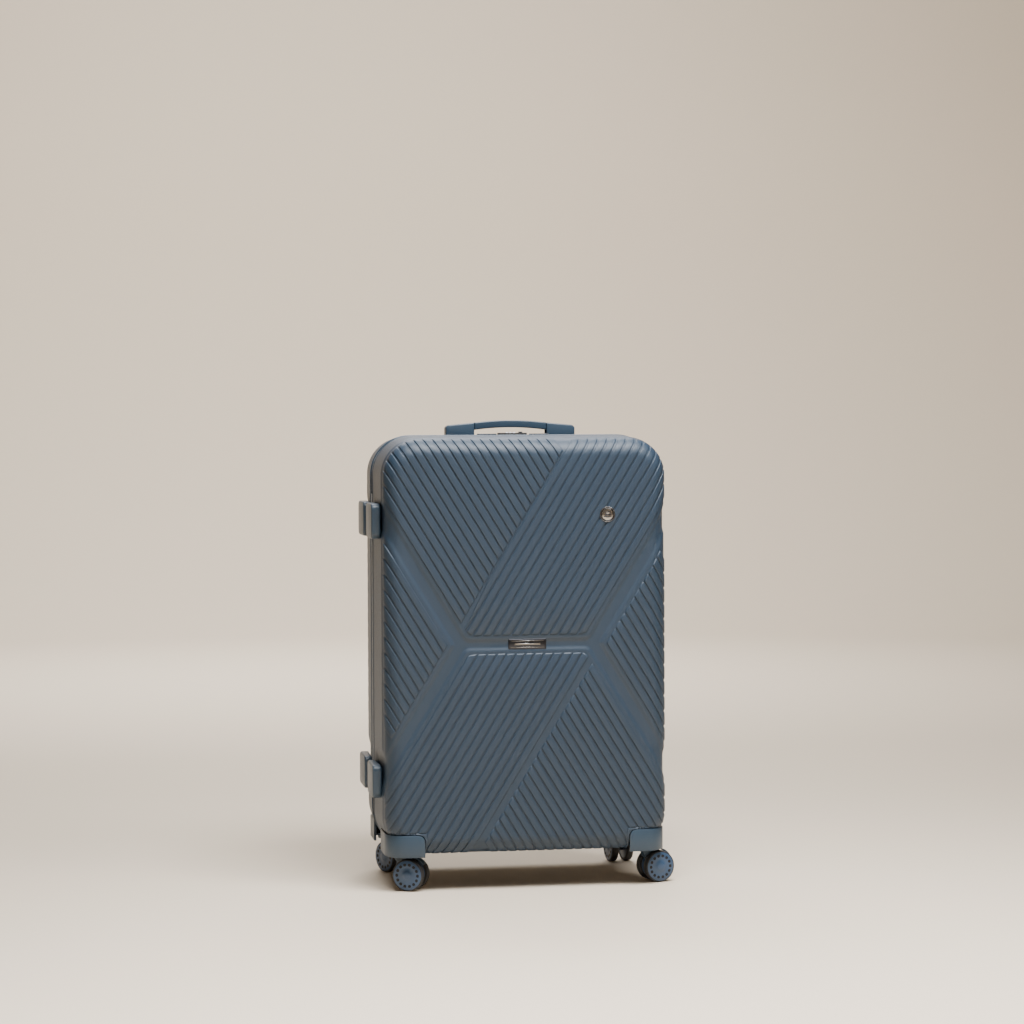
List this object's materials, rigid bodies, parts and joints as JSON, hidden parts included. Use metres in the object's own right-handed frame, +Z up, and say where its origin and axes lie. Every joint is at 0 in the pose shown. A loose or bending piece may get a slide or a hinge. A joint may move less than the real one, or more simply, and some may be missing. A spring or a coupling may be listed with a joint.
{
  "type": "wheeled hard-shell suitcase",
  "caption": "Upright hard-shell travel case with ribbed shells, pressed cross, zip seam, telescopic handle and twin-wheel casters.",
  "frame": {"origin": "floor point under the middle of the closed case, in the plane of the seam", "axes": "+X to the case's right side seen from the front, +Y to the back, +Z up"},
  "size_m": [0.498, 0.2835, 0.76],
  "materials": {
    "shell": "fine-grained satin polycarbonate, navy blue",
    "zip_cloth": "woven zip tape, dark navy",
    "lining_cloth": "thin polyester lining, grey",
    "strap_webbing": "elastic webbing, black",
    "navy_plastic": "moulded plastic, dark navy, satin",
    "grip_plastic": "soft-touch plastic, very dark navy",
    "black_plastic": "moulded plastic, black",
    "tube_aluminium": "anodised, satin",
    "steel": "zinc plated",
    "zip_metal": "dark plated",
    "badge_metal": "blue-grey anodised plate with a bright rim",
    "button_plastic": "moulded, grey",
    "lock_red": "moulded, red",
    "dial_plastic": "moulded, pale grey",
    "hub_plastic": "moulded, steel blue",
    "tyre": "black polyurethane"
  },
  "bodies": {
    "rear_case": {"rear_shell": "shell", "rear_zip_tape": "zip_cloth", "rear_lining": "lining_cloth", "packing_straps": "strap_webbing", "strap_buckle": "black_plastic", "top_handle_blocks": "navy_plastic", "side_handle_blocks": "navy_plastic", "rear_side_feet": "navy_plastic", "trolley_cup": "black_plastic", "trolley_outer_tubes": "tube_aluminium", "tube_foot_bracket": "black_plastic", "bracket_screws": "steel", "lock_body": "black_plastic", "rear_wheel_housings": "navy_plastic", "rear_swivel_pins": "steel"},
    "hinge_strip": {"hinge_tape": "zip_cloth"},
    "front_case": {"front_shell": "shell", "front_zip_tape": "zip_cloth", "front_lining": "lining_cloth", "front_side_feet": "navy_plastic", "badge_plate": "badge_metal", "round_emblem": "badge_metal", "front_wheel_housings": "navy_plastic", "front_swivel_pins": "steel"},
    "top_handle": {"top_handle_grip": "grip_plastic"},
    "side_handle": {"side_handle_grip": "grip_plastic"},
    "trolley_middle": {"trolley_middle_tubes": "tube_aluminium"},
    "trolley_upper": {"trolley_inner_tubes": "tube_aluminium", "trolley_grip": "black_plastic"},
    "trolley_release": {"trolley_button": "button_plastic"},
    "lock_release": {"lock_button": "lock_red"},
    "left_zip": {"left_zip_slider": "zip_metal"},
    "right_zip": {"right_zip_slider": "zip_metal"},
    "dial_1": {"lock_dial_1": "dial_plastic"},
    "dial_2": {"lock_dial_2": "dial_plastic"},
    "dial_3": {"lock_dial_3": "dial_plastic"},
    "front_left_swivel": {"front_left_fork": "navy_plastic", "front_left_axle": "steel"},
    "front_left_inner_wheel": {"front_left_inner_hub": "hub_plastic", "front_left_inner_tyre": "tyre"},
    "front_left_outer_wheel": {"front_left_outer_hub": "hub_plastic", "front_left_outer_tyre": "tyre"},
    "front_right_swivel": {"front_right_fork": "navy_plastic", "front_right_axle": "steel"},
    "front_right_inner_wheel": {"front_right_inner_hub": "hub_plastic", "front_right_inner_tyre": "tyre"},
    "front_right_outer_wheel": {"front_right_outer_hub": "hub_plastic", "front_right_outer_tyre": "tyre"},
    "rear_left_swivel": {"rear_left_fork": "navy_plastic", "rear_left_axle": "steel"},
    "rear_left_inner_wheel": {"rear_left_inner_hub": "hub_plastic", "rear_left_inner_tyre": "tyre"},
    "rear_left_outer_wheel": {"rear_left_outer_hub": "hub_plastic", "rear_left_outer_tyre": "tyre"},
    "rear_right_swivel": {"rear_right_fork": "navy_plastic", "rear_right_axle": "steel"},
    "rear_right_inner_wheel": {"rear_right_inner_hub": "hub_plastic", "rear_right_inner_tyre": "tyre"},
    "rear_right_outer_wheel": {"rear_right_outer_hub": "hub_plastic", "rear_right_outer_tyre": "tyre"}
  },
  "joints": [
    {"name": "hinge_fold", "type": "hinge", "parent": "rear_case", "child": "hinge_strip", "pos_m": [-0.236, 0.015, 0.395], "axis": [0, 0, -1], "range_deg": [0, 90]},
    {"name": "lid_fold", "type": "hinge", "parent": "hinge_strip", "child": "front_case", "pos_m": [-0.236, -0.015, 0.395], "axis": [0, 0, -1], "range_deg": [0, 90]},
    {"name": "top_handle_lift", "type": "slide", "parent": "rear_case", "child": "top_handle", "axis": [0, 0, 1], "range_m": [0, 0.008]},
    {"name": "side_handle_lift", "type": "slide", "parent": "rear_case", "child": "side_handle", "axis": [1, 0, 0], "range_m": [0, 0.008], "stiffness_N_per_m": 150},
    {"name": "trolley_lower_stage", "type": "slide", "parent": "rear_case", "child": "trolley_middle", "axis": [0, 0, 1], "range_m": [0, 0.18]},
    {"name": "trolley_upper_stage", "type": "slide", "parent": "trolley_middle", "child": "trolley_upper", "axis": [0, 0, 1], "range_m": [0, 0.18]},
    {"name": "trolley_button_press", "type": "slide", "parent": "trolley_upper", "child": "trolley_release", "axis": [0, 0, -1], "range_m": [0, 0.0025], "stiffness_N_per_m": 400},
    {"name": "lock_button_slide", "type": "slide", "parent": "rear_case", "child": "lock_release", "axis": [1, 0, 0], "range_m": [0, 0.0035], "stiffness_N_per_m": 200},
    {"name": "left_zip_slide", "type": "slide", "parent": "rear_case", "child": "left_zip", "axis": [-1, 0, 0], "range_m": [0, 0.12]},
    {"name": "right_zip_slide", "type": "slide", "parent": "rear_case", "child": "right_zip", "axis": [1, 0, 0], "range_m": [0, 0.12]},
    {"name": "dial_1_turn", "type": "hinge", "parent": "rear_case", "child": "dial_1", "pos_m": [-0.009, 0.0079, 0.735], "axis": [1, 0, 0], "continuous": true},
    {"name": "dial_2_turn", "type": "hinge", "parent": "rear_case", "child": "dial_2", "pos_m": [-0.003, 0.0079, 0.735], "axis": [1, 0, 0], "continuous": true},
    {"name": "dial_3_turn", "type": "hinge", "parent": "rear_case", "child": "dial_3", "pos_m": [0.003, 0.0079, 0.735], "axis": [1, 0, 0], "continuous": true},
    {"name": "front_left_swivel_turn", "type": "hinge", "parent": "front_case", "child": "front_left_swivel", "pos_m": [-0.203, -0.096, 0.059], "axis": [0, 0, 1], "continuous": true},
    {"name": "front_left_inner_wheel_roll", "type": "hinge", "parent": "front_left_swivel", "child": "front_left_inner_wheel", "pos_m": [-0.18099, -0.09194, 0.026], "axis": [0.4384, 0.8988, 0], "continuous": true},
    {"name": "front_left_outer_wheel_roll", "type": "hinge", "parent": "front_left_swivel", "child": "front_left_outer_wheel", "pos_m": [-0.19265, -0.11585, 0.026], "axis": [0.4384, 0.8988, 0], "continuous": true},
    {"name": "front_right_swivel_turn", "type": "hinge", "parent": "front_case", "child": "front_right_swivel", "pos_m": [0.203, -0.096, 0.059], "axis": [0, 0, 1], "continuous": true},
    {"name": "front_right_inner_wheel_roll", "type": "hinge", "parent": "front_right_swivel", "child": "front_right_inner_wheel", "pos_m": [0.21694, -0.07849, 0.026], "axis": [-0.2588, 0.9659, 0], "continuous": true},
    {"name": "front_right_outer_wheel_roll", "type": "hinge", "parent": "front_right_swivel", "child": "front_right_outer_wheel", "pos_m": [0.22383, -0.10419, 0.026], "axis": [-0.2588, 0.9659, 0], "continuous": true},
    {"name": "rear_left_swivel_turn", "type": "hinge", "parent": "rear_case", "child": "rear_left_swivel", "pos_m": [-0.203, 0.096, 0.059], "axis": [0, 0, 1], "continuous": true},
    {"name": "rear_left_inner_wheel_roll", "type": "hinge", "parent": "rear_left_swivel", "child": "rear_left_inner_wheel", "pos_m": [-0.18248, 0.08706, 0.026], "axis": [0.866, 0.5, 0], "continuous": true},
    {"name": "rear_left_outer_wheel_roll", "type": "hinge", "parent": "rear_left_swivel", "child": "rear_left_outer_wheel", "pos_m": [-0.20552, 0.07376, 0.026], "axis": [0.866, 0.5, 0], "continuous": true},
    {"name": "rear_right_swivel_turn", "type": "hinge", "parent": "rear_case", "child": "rear_right_swivel", "pos_m": [0.203, 0.096, 0.059], "axis": [0, 0, 1], "continuous": true},
    {"name": "rear_right_inner_wheel_roll", "type": "hinge", "parent": "rear_right_swivel", "child": "rear_right_inner_wheel", "pos_m": [0.18732, 0.11197, 0.026], "axis": [-0.9903, -0.1392, 0], "continuous": true},
    {"name": "rear_right_outer_wheel_roll", "type": "hinge", "parent": "rear_right_swivel", "child": "rear_right_outer_wheel", "pos_m": [0.21366, 0.11568, 0.026], "axis": [-0.9903, -0.1392, 0], "continuous": true}
  ],
  "couplings": [
    {"joint": "hinge_fold", "follows": "lid_fold", "ratio": 1}
  ]
}
